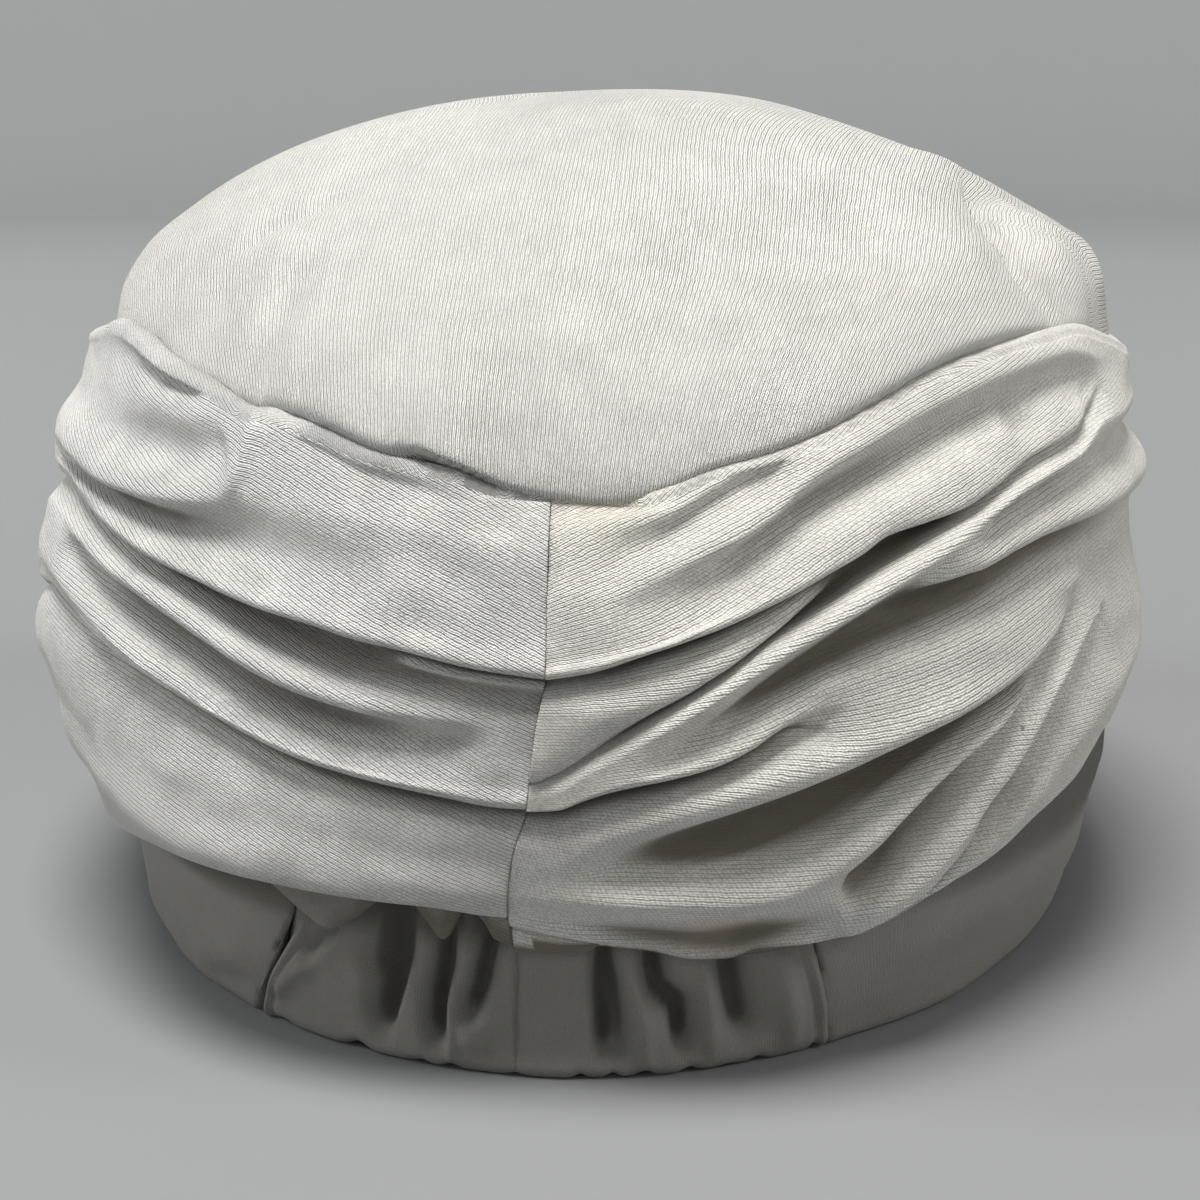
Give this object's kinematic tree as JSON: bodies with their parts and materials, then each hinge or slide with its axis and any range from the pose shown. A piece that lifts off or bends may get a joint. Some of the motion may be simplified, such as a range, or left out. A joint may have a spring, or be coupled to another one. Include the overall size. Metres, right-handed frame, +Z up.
{
  "type": "pleated turban cap",
  "caption": "Soft turban-style jersey cap: domed crown, wide draped wrap of gathered pleats meeting at a back seam, plain rim band with a gathered elastic back.",
  "frame": {"origin": "centre of the footprint at the rim, on the surface that the cap rests on", "axes": "+Y towards the front of the head, -Y the centre back, +X the wearer's right side, +Z up through the crown"},
  "size_m": [0.1792, 0.2202, 0.1295],
  "materials": {
    "crown_jersey": "matt ivory cotton jersey, fine knit",
    "wrap_jersey": "matt ivory cotton jersey, double layer, draped in pleats",
    "band_jersey": "matt off-white cotton jersey, smooth lining knit",
    "elastic_jersey": "matt off-white cotton jersey gathered over elastic"
  },
  "bodies": {
    "root": {"crown": "crown_jersey", "wrap_left": "wrap_jersey", "wrap_right": "wrap_jersey", "headband": "band_jersey", "elastic_back": "elastic_jersey"}
  },
  "joints": []
}
